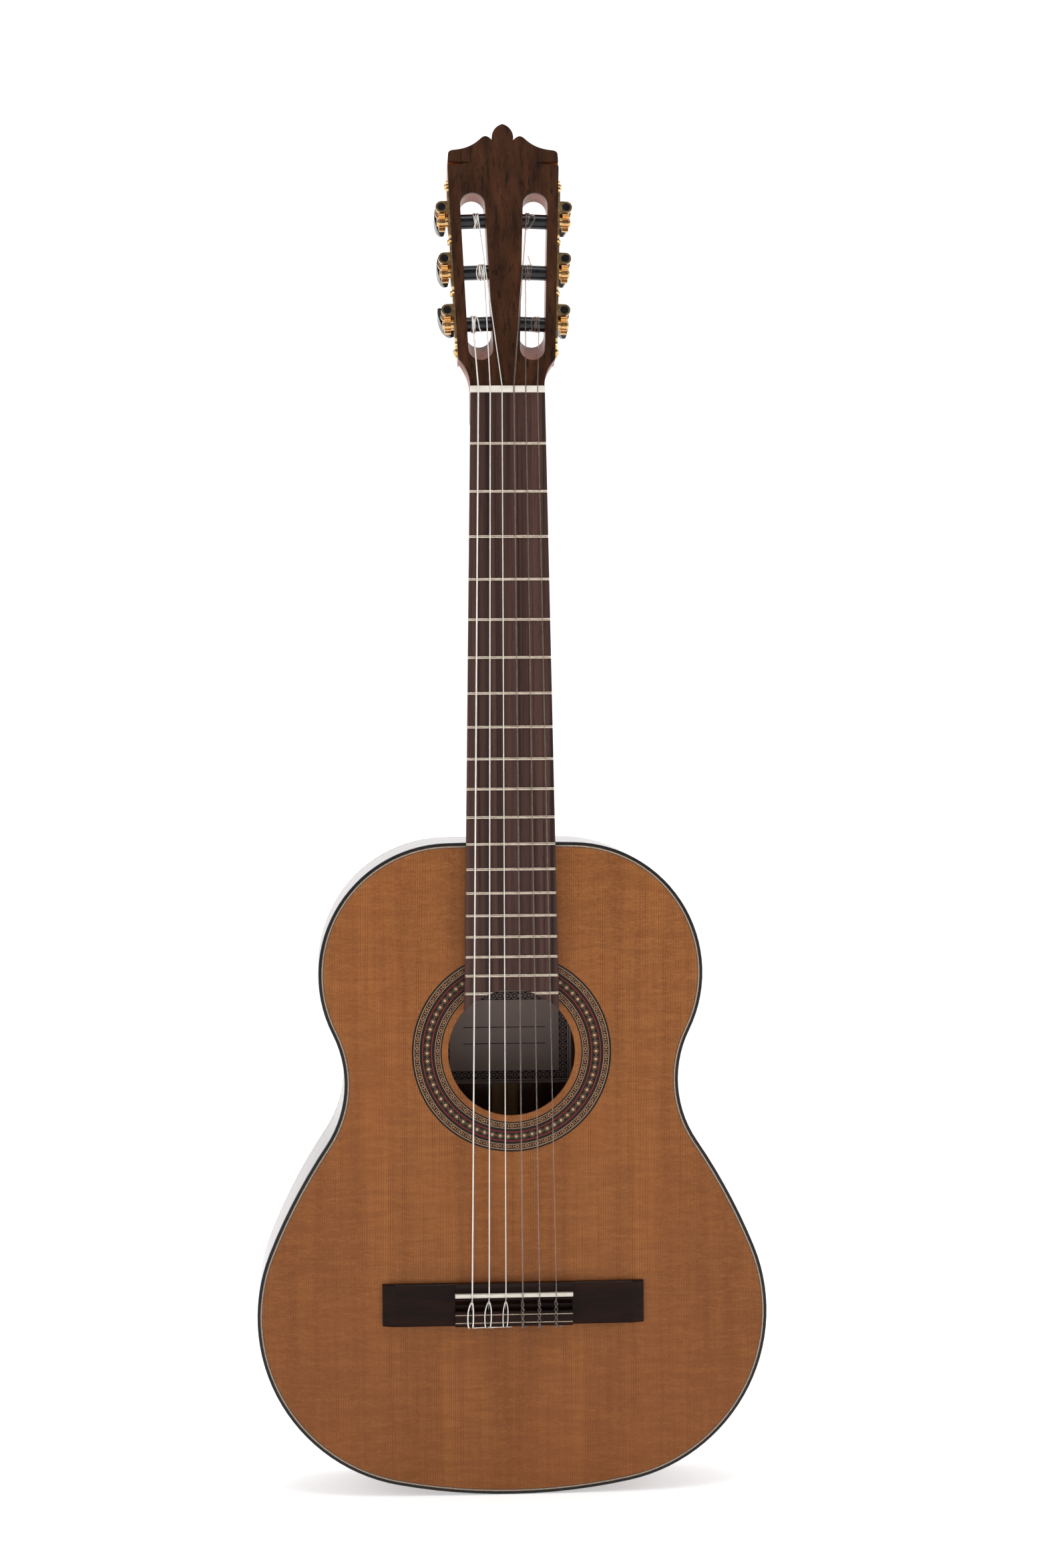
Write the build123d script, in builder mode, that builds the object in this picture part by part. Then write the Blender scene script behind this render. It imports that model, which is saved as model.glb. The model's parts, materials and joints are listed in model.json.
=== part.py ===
from build123d import *
from math import atan, cos, degrees, pi, radians, sin, tan
import os

# A classical guitar with a short 630 mm scale.
# Millimetres.  +Z runs up the neck, X runs across with the bass side at -X, and the soundboard
# faces -Y.  Z is 0 at the tail, and Y is 0 halfway between the back and the foremost string.

os.makedirs("parts", exist_ok=True)

# ---------------------------------------------------------------- driving dimensions
SCALE_LENGTH = 630.0
NUT_Z = 774.5                 # fretboard end of the nut
COMPENSATION = 1.5
BODY_DEPTH = 92.0
TOP_T = 2.6                   # soundboard
BACK_T = 2.6
SIDE_T = 2.2                  # sides, and the width of the bindings
BINDING_H = 5.5
PURFLING_W = 1.0
LINE_W = 0.45
PURFLING_DEPTH = 1.5
LINING_W = 6.0
LINING_H = 6.0
# half outline from the tail: (radius, turn in degrees); the shoulder arc closes it on the centre line
OUTLINE_ARCS = [(418.0, 11.3), (121.7, 100.7), (408.5, 12.0), (78.0, -60.4), (92.4, 115.0)]

HOLE_Z = 312.8
HOLE_R = 44.7
ROSETTE_IN = 49.2
ROSETTE_OUT = 70.2
ROSETTE_T = 1.2

FRETBOARD_T = 6.0
NUT_W = 52.0
NUT_T = 4.6
NUT_H = 2.6                   # above the fretboard
BOARD_W_12 = 62.5
FRET_COUNT = 19
FRET_W = 2.2
FRET_H = 1.0
TANG_W = 0.55
TANG_H = 1.8
STRING_OVER_BOARD = 1.9       # underside of a string above the fretboard at the nut
STRING_OVER_TOP = 12.6        # underside of a string above the soundboard at the saddle

NECK_DEPTH_NUT = 15.0
NECK_DEPTH_HEEL = 17.0
HEEL_CAP_T = 3.0
FOOT_Z = 441.0                # inner end of the neck's foot
FOOT_HALF_W = 34.0
WEB_HALF_W = 8.0              # tongue of the neck that passes between the two sides
TAIL_BLOCK_T = 16.0
TAIL_BLOCK_HALF_W = 36.0

BRIDGE_L = 184.0
BRIDGE_LOW = 120.9
BRIDGE_HIGH = 150.7
BLOCK_L = 82.6
BRIDGE_H = 9.0
WING_H = 4.8
SADDLE_T = 2.8
SADDLE_FLOOR = 3.5
TIE_HOLE_H = 4.6
TIE_HOLE_R = 1.0

HEAD_TILT = 12.0
HEAD_T = 16.0
VENEER_T = 2.0
HEAD_LOW = (34.0, 19.7)       # half width and height where the straight head sides begin
HEAD_HIGH = (39.4, 160.7)
SLOT_W = 17.5
SLOT_MID = (20.1, 80.5)
SLOT_LENGTH = 123.3
RAMP_RUN = 15.0

TUNER_PITCH = 38.0
TUNER_MID = 84.9              # middle roller, measured up the head from the nut
TUNER_DEPTH = 6.0             # rollers below the face of the head core
ROLLER_R = 5.2
RUNNING_GAP = 0.07
GEAR_TEETH = 14
GEAR_PITCH_R = 5.8
GEAR_TIP_R = 6.5
GEAR_ROOT_R = 4.85
WORM_DISTANCE = 9.0
WORM_OUT = 5.8                # worm axis, outward from the side of the head
WORM_CORE_R = 2.25
WORM_TIP_R = 3.9
LUG_R = 4.2
LUG_IN = 4.8
PLATE_T = 1.5
PLATE_HALF_W = 7.5
SHAFT_R = 2.0
SCREWS_AT = (-58.0, -15.0, 23.0, 64.5)   # along the plate from its middle roller
SCREW_SHANK_R = 1.1
SCREW_IN = 6.0                # screw length inside the head
BUTTON_L = 23.6
BUTTON_T = 8.4

# string number: (diameter, tuner place counted from the nut, where it meets its roller across X)
STRINGS = {
    6: (1.12, 0, -23.3),
    5: (0.91, 1, -14.6),
    4: (0.76, 2, -18.1),
    3: (1.03, 2, 15.9),
    2: (0.83, 1, 14.4),
    1: (0.72, 0, 23.3),
}
NUT_SPREAD = 41.4
SADDLE_SPREAD = 59.0

# ---------------------------------------------------------------- places worked out from them
THICKEST_STRING = STRINGS[6][0]
FRONT_HEIGHT = STRING_OVER_TOP + THICKEST_STRING
FRONT_Y = -(BODY_DEPTH - FRONT_HEIGHT) / 2
BACK_Y = FRONT_Y + BODY_DEPTH
SADDLE_Z = NUT_Z - SCALE_LENGTH - COMPENSATION
BOARD_SLOPE = (BOARD_W_12 - NUT_W) / 2 / (SCALE_LENGTH / 2)
HEAD_Z = NUT_Z + NUT_T
TAPER = atan((HEAD_HIGH[0] - HEAD_LOW[0]) / (HEAD_HIGH[1] - HEAD_LOW[1]))
LEAD = 2 * pi * GEAR_PITCH_R / GEAR_TEETH

TILT = radians(HEAD_TILT)
HEAD_UP = Vector(0, sin(TILT), cos(TILT))
HEAD_OUT = Vector(0, -cos(TILT), sin(TILT))
HEAD_FOOT = Vector(0, FRONT_Y, HEAD_Z)
ACROSS = Vector(1, 0, 0)


def at_y(y):
    """A plane that faces -Y, with X across and Z up, at depth y."""
    return Plane(origin=(0, y, 0), x_dir=(1, 0, 0), z_dir=(0, -1, 0))


def head_plane(depth):
    """The head's face plane, moved back by depth; local y runs up the head."""
    return Plane(origin=HEAD_FOOT - HEAD_OUT * depth, x_dir=(1, 0, 0), z_dir=HEAD_OUT)


def board_half_width(z):
    return NUT_W / 2 + BOARD_SLOPE * (NUT_Z - z)


def write(part, name):
    """Name a finished piece and write its STEP file."""
    part.label = name
    export_step(part, f"parts/{name}.step")


def body_face(inset):
    """The body's outline, moved inward by inset."""
    with BuildSketch() as outline:
        with BuildLine() as half:
            start = (0, 0)
            heading = (1, 0)
            for radius, turn in OUTLINE_ARCS:
                arc = JernArc(start, heading, radius, turn)
                start = arc @ 1
                heading = arc % 1
            shoulder_r = start.X / heading.Y
            shoulder_turn = 180 - sum(turn for _, turn in OUTLINE_ARCS)
            JernArc(start, heading, shoulder_r, shoulder_turn)
            mirror(about=Plane.YZ)
        make_face()
        if inset:
            offset(amount=-inset, mode=Mode.REPLACE)
    return outline.sketch


OUTER = body_face(0)
BEHIND_BINDING = body_face(SIDE_T)
BEHIND_PURFLING = body_face(SIDE_T + PURFLING_W)
TOP_WOOD = body_face(SIDE_T + PURFLING_W + LINE_W)
BEHIND_LINING = body_face(SIDE_T + LINING_W)
BRACED = body_face(SIDE_T + LINING_W + 0.4)


def slab(face, y_low, y_high):
    """A face of the outline family made solid between two depths."""
    with BuildPart() as made:
        with BuildSketch(at_y(y_low)):
            add(face)
        extrude(amount=y_low - y_high)
    return made.part


def ring(outer_face, inner_face, y_low, y_high):
    return slab(outer_face, y_low, y_high) - slab(inner_face, y_low - 1, y_high + 1)


TOP_IN = FRONT_Y + TOP_T
BACK_IN = BACK_Y - BACK_T

# ---------------------------------------------------------------- soundboard, rosette and edges
purfling_channel = ring(BEHIND_BINDING, TOP_WOOD, FRONT_Y, FRONT_Y + PURFLING_DEPTH)

with BuildPart() as soundboard:
    add(slab(BEHIND_BINDING, FRONT_Y, TOP_IN))
    add(purfling_channel, mode=Mode.SUBTRACT)
    with BuildSketch(at_y(FRONT_Y)):
        with Locations((0, HOLE_Z)):
            Circle(HOLE_R)
    extrude(amount=-TOP_T, mode=Mode.SUBTRACT)
    with BuildSketch(at_y(FRONT_Y)):
        with Locations((0, HOLE_Z)):
            Circle(ROSETTE_OUT)
            Circle(ROSETTE_IN, mode=Mode.SUBTRACT)
    extrude(amount=-ROSETTE_T, mode=Mode.SUBTRACT)
write(soundboard.part, "soundboard")

with BuildPart() as rosette:
    with BuildSketch(at_y(FRONT_Y)):
        with Locations((0, HOLE_Z)):
            Circle(ROSETTE_OUT)
            Circle(ROSETTE_IN, mode=Mode.SUBTRACT)
    extrude(amount=-ROSETTE_T)
write(rosette.part, "rosette")

with BuildPart() as purfling_top:
    add(ring(BEHIND_BINDING, BEHIND_PURFLING, FRONT_Y, FRONT_Y + PURFLING_DEPTH))
write(purfling_top.part, "purfling_top")

with BuildPart() as purfling_line:
    add(ring(BEHIND_PURFLING, TOP_WOOD, FRONT_Y, FRONT_Y + PURFLING_DEPTH))
write(purfling_line.part, "purfling_line")


def binding(y_face, y_inner, name):
    """A strip round the edge, with its outer corner eased."""
    y_low = min(y_face, y_inner)
    y_high = max(y_face, y_inner)
    with BuildPart() as strip:
        add(slab(OUTER, y_low, y_high))
        rim = strip.faces().sort_by(Axis.Y)[0 if y_face < y_inner else -1]
        fillet(rim.edges(), radius=0.9)
        add(slab(BEHIND_BINDING, y_low - 1, y_high + 1), mode=Mode.SUBTRACT)
    write(strip.part, name)


binding(FRONT_Y, FRONT_Y + BINDING_H, "binding_top")
binding(BACK_Y, BACK_Y - BINDING_H, "binding_back")

# ---------------------------------------------------------------- sides and back
for side, name in ((-1, "side_bass"), (1, "side_treble")):
    with BuildPart() as rib:
        add(ring(OUTER, BEHIND_BINDING, FRONT_Y + BINDING_H, BACK_Y - BINDING_H))
        with Locations((side * 200, 0, 230)):
            Box(400, 200, 600, mode=Mode.INTERSECT)
        with Locations((0, 0, 460)):
            Box(2 * WEB_HALF_W, 200, 40, mode=Mode.SUBTRACT)
    write(rib.part, name)

for side, name in ((-1, "back_bass"), (1, "back_treble")):
    with BuildPart() as plate:
        add(slab(BEHIND_BINDING, BACK_IN, BACK_Y))
        with Locations((side * 200, 0, 230)):
            Box(400, 200, 600, mode=Mode.INTERSECT)
    write(plate.part, name)

# ---------------------------------------------------------------- inside the body
with BuildPart() as tail_block:
    add(slab(BEHIND_BINDING, TOP_IN, BACK_IN))
    with Locations((0, 0, TAIL_BLOCK_T / 2)):
        Box(2 * TAIL_BLOCK_HALF_W, 200, TAIL_BLOCK_T, mode=Mode.INTERSECT)
write(tail_block.part, "tail_block")

with BuildPart() as linings:
    add(ring(BEHIND_BINDING, BEHIND_LINING, TOP_IN, TOP_IN + LINING_H))
    add(ring(BEHIND_BINDING, BEHIND_LINING, BACK_IN - LINING_H, BACK_IN))
    with Locations((0, 0, 0)):
        Box(2 * TAIL_BLOCK_HALF_W, 200, 60, mode=Mode.SUBTRACT)
    with Locations((0, 0, 470)):
        Box(2 * FOOT_HALF_W, 200, 80, mode=Mode.SUBTRACT)
write(linings.part, "linings")

HARMONIC_BARS = (236.0, 384.0)
HARMONIC_H = 14.0
HARMONIC_W = 6.0
FAN_LOW = 34.0
FAN_HIGH = 230.0
FAN_SPREAD = (-2, -1, 0, 1, 2)
FAN_LOW_STEP = 44.0
FAN_HIGH_STEP = 20.0
FAN_H = 5.0
FAN_W = 4.5

with BuildPart() as top_braces:
    with BuildSketch(at_y(TOP_IN)):
        for height in HARMONIC_BARS:
            with Locations((0, height)):
                Rectangle(400, HARMONIC_W)
    extrude(amount=-HARMONIC_H)
    with BuildSketch(at_y(TOP_IN)):
        for step in FAN_SPREAD:
            with BuildLine() as strut:
                Line((step * FAN_LOW_STEP, FAN_LOW), (step * FAN_HIGH_STEP, FAN_HIGH))
            trace(lines=strut.line, line_width=FAN_W)
    extrude(amount=-FAN_H)
    add(slab(BRACED, TOP_IN, BACK_IN), mode=Mode.INTERSECT)
write(top_braces.part, "top_braces")

BACK_BRACES = (110.0, 232.0, 384.0)
BACK_BRACE_W = 7.0
BACK_BRACE_H = 15.0
STRIP_W = 19.0
STRIP_T = 2.4
LABEL_W = 98.0
LABEL_H = 70.0
LABEL_Z = 315.0
LABEL_T = 0.3

with BuildPart() as back_braces:
    with BuildSketch(at_y(BACK_IN)):
        for height in BACK_BRACES:
            with Locations((0, height)):
                Rectangle(400, BACK_BRACE_W)
    extrude(amount=BACK_BRACE_H)
    add(slab(BRACED, TOP_IN, BACK_IN), mode=Mode.INTERSECT)
write(back_braces.part, "back_braces")

with BuildPart() as back_strip:
    with BuildSketch(at_y(BACK_IN)):
        with Locations((0, (TAIL_BLOCK_T + FOOT_Z) / 2)):
            Rectangle(STRIP_W, FOOT_Z - TAIL_BLOCK_T)
        for height in BACK_BRACES:
            with Locations((0, height)):
                Rectangle(STRIP_W + 2, BACK_BRACE_W, mode=Mode.SUBTRACT)
        with Locations((0, LABEL_Z)):
            Rectangle(STRIP_W + 2, LABEL_H, mode=Mode.SUBTRACT)
    extrude(amount=STRIP_T)
write(back_strip.part, "back_strip")

with BuildPart() as label:
    with BuildSketch(at_y(BACK_IN)):
        with Locations((0, LABEL_Z)):
            Rectangle(LABEL_W, LABEL_H)
    extrude(amount=LABEL_T)
write(label.part, "label")


# ---------------------------------------------------------------- neck, heel and head
def neck_section(half_width, depth, shoulder, crown):
    """One closed section of the neck: flat in front, rounded behind."""
    with BuildSketch() as section:
        with BuildLine():
            Line((-half_width, 0), (half_width, 0))
            Bezier((half_width, 0), (half_width, shoulder * depth), (crown * half_width, depth), (0, depth))
            Bezier((0, depth), (-crown * half_width, depth), (-half_width, shoulder * depth), (-half_width, 0))
        make_face()
    return section.sketch


def shaft_section(z):
    """The D section of the playing part of the neck at height z."""
    share = (NUT_Z - z) / (NUT_Z - 460)
    depth = NECK_DEPTH_NUT + share * (NECK_DEPTH_HEEL - NECK_DEPTH_NUT)
    return neck_section(board_half_width(z), depth, 0.62, 0.62)


def head_profile(margin):
    """The head's face shape above the nut; margin makes it longer below the nut for cutting tools."""
    half_nut = NUT_W / 2
    flare_r = 28.25
    with BuildSketch() as profile:
        with BuildLine():
            Polyline((0, -margin), (half_nut + margin * 0.02, -margin), (half_nut, 0))
            flare = JernArc((half_nut, 0), (0, 1), flare_r, -44.2)
            Line(flare @ 1, HEAD_LOW)
            Line(HEAD_LOW, HEAD_HIGH)
            Line(HEAD_HIGH, (38.9, 170.4))
            Bezier((38.9, 170.4), (38.9, 173.4), (36.5, 173.8), (33.5, 174.1))
            Bezier((33.5, 174.1), (25.5, 175.0), (20.0, 178.2), (15.8, 182.4))
            Bezier((15.8, 182.4), (13.8, 184.4), (11.6, 185.4), (9.8, 183.6), (7.4, 181.4))
            ThreePointArc((7.4, 181.4), (5.6, 189.6), (0, 193.4))
            Line((0, 193.4), (0, -margin))
        make_face()
        mirror(about=Plane.YZ)
    return profile.sketch


def slot_sketch(side, low_cut):
    """One string slot of the head; low_cut shortens it from its lower end."""
    lean = side * degrees(TAPER)
    length = SLOT_LENGTH - low_cut
    shift = low_cut / 2
    x = side * (SLOT_MID[0] + shift * tan(TAPER))
    with BuildSketch() as slot:
        with Locations(Location((x, SLOT_MID[1] + shift, 0), (0, 0, 90 - lean))):
            SlotOverall(length, SLOT_W)
    return slot.sketch


def ramp_sketch(side):
    """The lower half of a slot, swept obliquely to make the ramp the strings pass over."""
    with BuildSketch() as ramp:
        add(slot_sketch(side, 0))
        with Locations((side * SLOT_MID[0], SLOT_MID[1] - SLOT_LENGTH / 2)):
            Rectangle(2 * SLOT_W, SLOT_LENGTH, mode=Mode.INTERSECT)
    return ramp.sketch


def side_frame(side):
    """Outward, upward and reference point for the tuners on one side of the head."""
    outward = ACROSS * (side * cos(TAPER)) - HEAD_UP * sin(TAPER)
    upward = ACROSS * (side * sin(TAPER)) + HEAD_UP * cos(TAPER)
    half = HEAD_LOW[0] + tan(TAPER) * (TUNER_MID - HEAD_LOW[1])
    point = HEAD_FOOT + ACROSS * (side * half) + HEAD_UP * TUNER_MID - HEAD_OUT * TUNER_DEPTH
    return point, outward, upward


def roller_centre(side, place):
    point, outward, upward = side_frame(side)
    return point + upward * (TUNER_PITCH * (place - 1))


GROOVE_L = 17.0
GROOVE_W = 4.6
GROOVE_DEPTH = 4.2
GROOVE_AT = 164.2


def crest_groove(side):
    """A tapering V cut that runs in from the edge of the head below the crest."""
    edge = HEAD_FOOT + HEAD_UP * GROOVE_AT + HEAD_OUT * (VENEER_T + 0.6) + ACROSS * (side * 40.2)
    tip = edge - ACROSS * (side * GROOVE_L) + HEAD_UP * 0.4
    with BuildPart() as groove:
        for origin, size in ((edge, 1.0), (tip, 0.12)):
            with BuildSketch(Plane(origin=origin, x_dir=HEAD_UP, z_dir=ACROSS)):
                half = GROOVE_W / 2 * size
                deep = (GROOVE_DEPTH + 0.6) * size + (1 - size) * 0.6
                with BuildLine():
                    Polyline((-half, 0), (half, 0), (0, -deep), close=True)
                make_face()
        loft()
    return groove.part


HEEL_LOW = 452.0
HEEL_TIP = (13.2, 27.0)
HEEL_SLICES = (
    (FRONT_Y + 9.0, 27.0, 90.0),
    (FRONT_Y + 24.0, 23.0, 55.0),
    (FRONT_Y + 50.0, 17.5, 36.0),
    (BACK_Y - HEEL_CAP_T, HEEL_TIP[0], HEEL_TIP[1]),
)
ROLLER_BORE_DEEP = 31.2
ROLLER_BORE_R = ROLLER_R + RUNNING_GAP
FLARE_LOW = 752.0
FLARE_TOP = 20.0

with BuildPart() as neck:
    # playing part of the neck
    for height in (452.0, 620.0, HEAD_Z):
        with BuildSketch(Plane(origin=(0, FRONT_Y, height))):
            add(shaft_section(height))
    loft()
    # heel, in slices that get smaller toward the back
    for y, half, length in HEEL_SLICES:
        with BuildSketch(Plane(origin=(0, y, HEEL_LOW), z_dir=(0, -1, 0), x_dir=(1, 0, 0))):
            add(neck_section(half, length, 0.6, 0.5))
    loft()
    add(slab(OUTER, FRONT_Y - 1, BACK_Y + 1), mode=Mode.SUBTRACT)
    # head, from where its sides run straight
    with BuildSketch(head_plane(0)):
        add(head_profile(10))
        with Locations((0, FLARE_TOP - 30)):
            Rectangle(90, 60, mode=Mode.SUBTRACT)
    extrude(amount=-HEAD_T)

with BuildPart() as flare:
    with BuildSketch(Plane(origin=(0, FRONT_Y, FLARE_LOW))):
        add(shaft_section(FLARE_LOW))
    with BuildSketch(Plane(origin=HEAD_FOOT + HEAD_UP * FLARE_TOP, x_dir=(1, 0, 0), z_dir=HEAD_UP)):
        add(neck_section(HEAD_LOW[0] + 0.1, HEAD_T, 1.0, 0.96))
    loft()
    with BuildSketch(head_plane(-20)):
        add(head_profile(60))
    extrude(amount=-70, mode=Mode.INTERSECT)

foot = slab(BEHIND_BINDING, TOP_IN, BACK_IN) & Location((0, 0, FOOT_Z + 15)) * Box(2 * FOOT_HALF_W, 200, 30)
web = Location((0, 0, 458.5)) * Box(2 * WEB_HALF_W, BODY_DEPTH - 2 * BINDING_H, 5)
web = web.moved(Location((0, FRONT_Y + BODY_DEPTH / 2, 0)))

with BuildPart() as neck_whole:
    add(neck.part)
    add(flare.part)
    add(foot)
    add(web)
    for side in (-1, 1):
        with BuildSketch(head_plane(0)):
            add(slot_sketch(side, RAMP_RUN))
        extrude(amount=-HEAD_T - 5, mode=Mode.SUBTRACT)
        with BuildSketch(head_plane(0)):
            add(ramp_sketch(side))
        oblique = ACROSS * (side * RAMP_RUN * tan(TAPER)) + HEAD_UP * RAMP_RUN - HEAD_OUT * HEAD_T
        extrude(amount=oblique.length * 1.15, dir=oblique.normalized(), mode=Mode.SUBTRACT)
        add(crest_groove(side), mode=Mode.SUBTRACT)
        for place in (0, 1, 2):
            outward = side_frame(side)[1]
            mouth = roller_centre(side, place) + outward * 2
            with BuildSketch(Plane(origin=mouth, z_dir=outward)):
                Circle(ROLLER_BORE_R)
            extrude(amount=-ROLLER_BORE_DEEP - 2, mode=Mode.SUBTRACT)
        point, outward, upward = side_frame(side)
        for along in SCREWS_AT:
            with BuildSketch(Plane(origin=point + upward * along + outward, z_dir=outward)):
                Circle(SCREW_SHANK_R)
            extrude(amount=-SCREW_IN - 1, mode=Mode.SUBTRACT)
# the head is a separate piece, scarfed to the neck behind the nut
SCARF_ABOVE_NUT = 3.0
SCARF_TOP = HEAD_FOOT + HEAD_UP * SCARF_ABOVE_NUT
SCARF_PLANE = Plane(origin=SCARF_TOP, x_dir=(1, 0, 0), z_dir=(0, cos(TILT), sin(TILT)))
SCARF_ZONE = 600.0            # well below the scarf, and above the heel

with BuildPart() as head_core:
    add(neck_whole.part)
    with Locations((0, 0, SCARF_ZONE + 250)):
        Box(200, 400, 500, mode=Mode.INTERSECT)
    split(bisect_by=SCARF_PLANE, keep=Keep.TOP)
write(head_core.part, "head_core")

with BuildPart() as neck_shaft:
    add(neck_whole.part)
    add(head_core.part, mode=Mode.SUBTRACT)
write(neck_shaft.part, "neck")

with BuildPart() as heel_cap:
    with BuildSketch(Plane(origin=(0, BACK_Y - HEEL_CAP_T, HEEL_LOW), z_dir=(0, -1, 0), x_dir=(1, 0, 0))):
        add(neck_section(HEEL_TIP[0], HEEL_TIP[1], 0.6, 0.5))
    extrude(amount=-HEEL_CAP_T)
    add(slab(OUTER, FRONT_Y - 1, BACK_Y + 1), mode=Mode.SUBTRACT)
write(heel_cap.part, "heel_cap")

with BuildPart() as head_veneer:
    with BuildSketch(head_plane(-VENEER_T)):
        add(head_profile(10))
        with Locations((0, -20)):
            Rectangle(90, 40, mode=Mode.SUBTRACT)
        for side in (-1, 1):
            add(slot_sketch(side, 0), mode=Mode.SUBTRACT)
    extrude(amount=-VENEER_T)
    for side in (-1, 1):
        add(crest_groove(side), mode=Mode.SUBTRACT)
write(head_veneer.part, "head_veneer")


# ---------------------------------------------------------------- fretboard, frets and nut
def fret_z(number):
    return NUT_Z - SCALE_LENGTH * (1 - 2 ** (-number / 12))


def board_sketch(inset):
    """The fretboard's face: it widens toward the body and ends on the soundhole's circle."""
    low = HOLE_Z
    with BuildSketch() as face:
        with BuildLine():
            Polyline(
                (-NUT_W / 2 + inset, NUT_Z),
                (NUT_W / 2 - inset, NUT_Z),
                (board_half_width(low) - inset, low),
                (-board_half_width(low) + inset, low),
                close=True,
            )
        make_face()
        with Locations((0, HOLE_Z)):
            Circle(HOLE_R, mode=Mode.SUBTRACT)
    return face.sketch


BOARD_Y = FRONT_Y - FRETBOARD_T
BEVEL = 0.9

with BuildPart() as tangs:
    for number in range(1, FRET_COUNT + 1):
        with Locations((0, BOARD_Y + TANG_H / 2, fret_z(number))):
            Box(80, TANG_H, TANG_W)
    with BuildSketch(at_y(BOARD_Y - 1)):
        add(board_sketch(0))
    extrude(amount=-FRETBOARD_T, mode=Mode.INTERSECT)

with BuildPart() as fretboard:
    with BuildSketch(at_y(BOARD_Y)):
        add(board_sketch(0))
    extrude(amount=-FRETBOARD_T)
    add(tangs.part, mode=Mode.SUBTRACT)
write(fretboard.part, "fretboard")

with BuildPart() as crowns:
    for number in range(1, FRET_COUNT + 1):
        with BuildSketch(Plane(origin=(-40, BOARD_Y, fret_z(number)), x_dir=(0, 0, 1), z_dir=(1, 0, 0))):
            with BuildLine():
                Line((-FRET_W / 2, 0), (FRET_W / 2, 0))
                ThreePointArc((FRET_W / 2, 0), (0, FRET_H), (-FRET_W / 2, 0))
            make_face()
        extrude(amount=80)

with BuildPart() as fret_envelope:
    with BuildSketch(at_y(BOARD_Y)):
        add(board_sketch(0))
    with BuildSketch(at_y(BOARD_Y - FRET_H - 0.2)):
        add(board_sketch(BEVEL))
    loft()

with BuildPart() as frets:
    add(crowns.part)
    add(fret_envelope.part, mode=Mode.INTERSECT)
    add(tangs.part)
write(frets.part, "frets")


def string_x(number, spread):
    return spread * (0.5 - (number - 1) / 5)


def wire(points, radius):
    """Straight runs of one thickness, joined by balls at the corners."""
    with BuildPart() as made:
        for start, end in zip(points, points[1:]):
            with BuildSketch(Plane(origin=start, z_dir=end - start)):
                Circle(radius)
            extrude(amount=(end - start).length)
        for corner in points[1:-1]:
            with Locations(corner):
                Sphere(radius)
    return made.part


NUT_TOP_Y = BOARD_Y - NUT_H
SLOT_GAP = 0.03
STRING_PATHS = {}
for number, (thick, place, landing) in STRINGS.items():
    side = -1 if number > 3 else 1
    r = thick / 2
    nut_x = string_x(number, NUT_SPREAD)
    saddle_x = string_x(number, SADDLE_SPREAD)
    low = Vector(saddle_x, FRONT_Y - TIE_HOLE_H, BRIDGE_LOW - 0.4)
    mouth = Vector(saddle_x, FRONT_Y - TIE_HOLE_H, BRIDGE_LOW + 11.0)
    top = Vector(saddle_x, FRONT_Y - STRING_OVER_TOP - r, SADDLE_Z)
    nut_front = Vector(nut_x, BOARD_Y - STRING_OVER_BOARD - r, NUT_Z + 0.2)
    nut_back = Vector(nut_x, BOARD_Y - STRING_OVER_BOARD - r + 0.35, NUT_Z + NUT_T)
    centre = roller_centre(side, place)
    outward = side_frame(side)[1]
    on_axis = centre + outward * ((landing - centre.X) / outward.X)
    reach = ROLLER_R + r + 0.12
    flat_run = on_axis - nut_back
    distance = (flat_run - outward * flat_run.dot(outward)).length
    level = (flat_run - outward * flat_run.dot(outward)).normalized()
    square = outward.cross(level)
    square = square if square.dot(HEAD_OUT) > 0 else square * -1
    lean = reach / distance
    touch = on_axis + square * (reach * cos(atan(lean))) - level * (reach * sin(atan(lean)))
    STRING_PATHS[number] = [low, mouth, top, nut_front, nut_back, touch]

with BuildPart() as nut:
    with BuildSketch(Plane.YZ.offset(-NUT_W / 2)):
        with BuildLine():
            Polyline(
                (FRONT_Y, NUT_Z),
                (FRONT_Y, HEAD_Z),
                (NUT_TOP_Y + 0.9, HEAD_Z),
                (NUT_TOP_Y + 0.1, NUT_Z + 1.8),
                (NUT_TOP_Y, NUT_Z),
                close=True,
            )
        make_face()
    extrude(amount=NUT_W)
    for number, (thick, place, landing) in STRINGS.items():
        groove = thick / 2 + SLOT_GAP
        front, back, touch = STRING_PATHS[number][3:]
        before = front + (front - STRING_PATHS[number][2]).normalized() * -3
        with BuildSketch(Plane(origin=before, z_dir=front - before)):
            Circle(groove)
        extrude(amount=3, mode=Mode.SUBTRACT)
        with BuildSketch(Plane(origin=front, z_dir=back - front)):
            Circle(groove)
        extrude(amount=(back - front).length, mode=Mode.SUBTRACT)
        with Locations(front, back):
            Sphere(groove, mode=Mode.SUBTRACT)
        with BuildSketch(Plane(origin=back, z_dir=touch - back)):
            Circle(groove)
        extrude(amount=3, mode=Mode.SUBTRACT)
        with Locations((front.X, NUT_TOP_Y - 1.0 + (front.Y - NUT_TOP_Y) / 2, NUT_Z + NUT_T / 2)):
            Box(2 * groove, front.Y - NUT_TOP_Y + 2.0, NUT_T + 1, mode=Mode.SUBTRACT)
write(nut.part, "nut")

# ---------------------------------------------------------------- bridge and saddle
SADDLE_LOW = SADDLE_Z - SADDLE_T / 2
SADDLE_HIGH = SADDLE_Z + SADDLE_T / 2
TIE_HIGH = BRIDGE_LOW + 10.6
INLAY_W = 0.7
INLAY_T = 0.5
INLAYS = (BRIDGE_LOW + 2.7, BRIDGE_LOW + 8.3)


def height_at(h):
    return FRONT_Y - h


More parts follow.
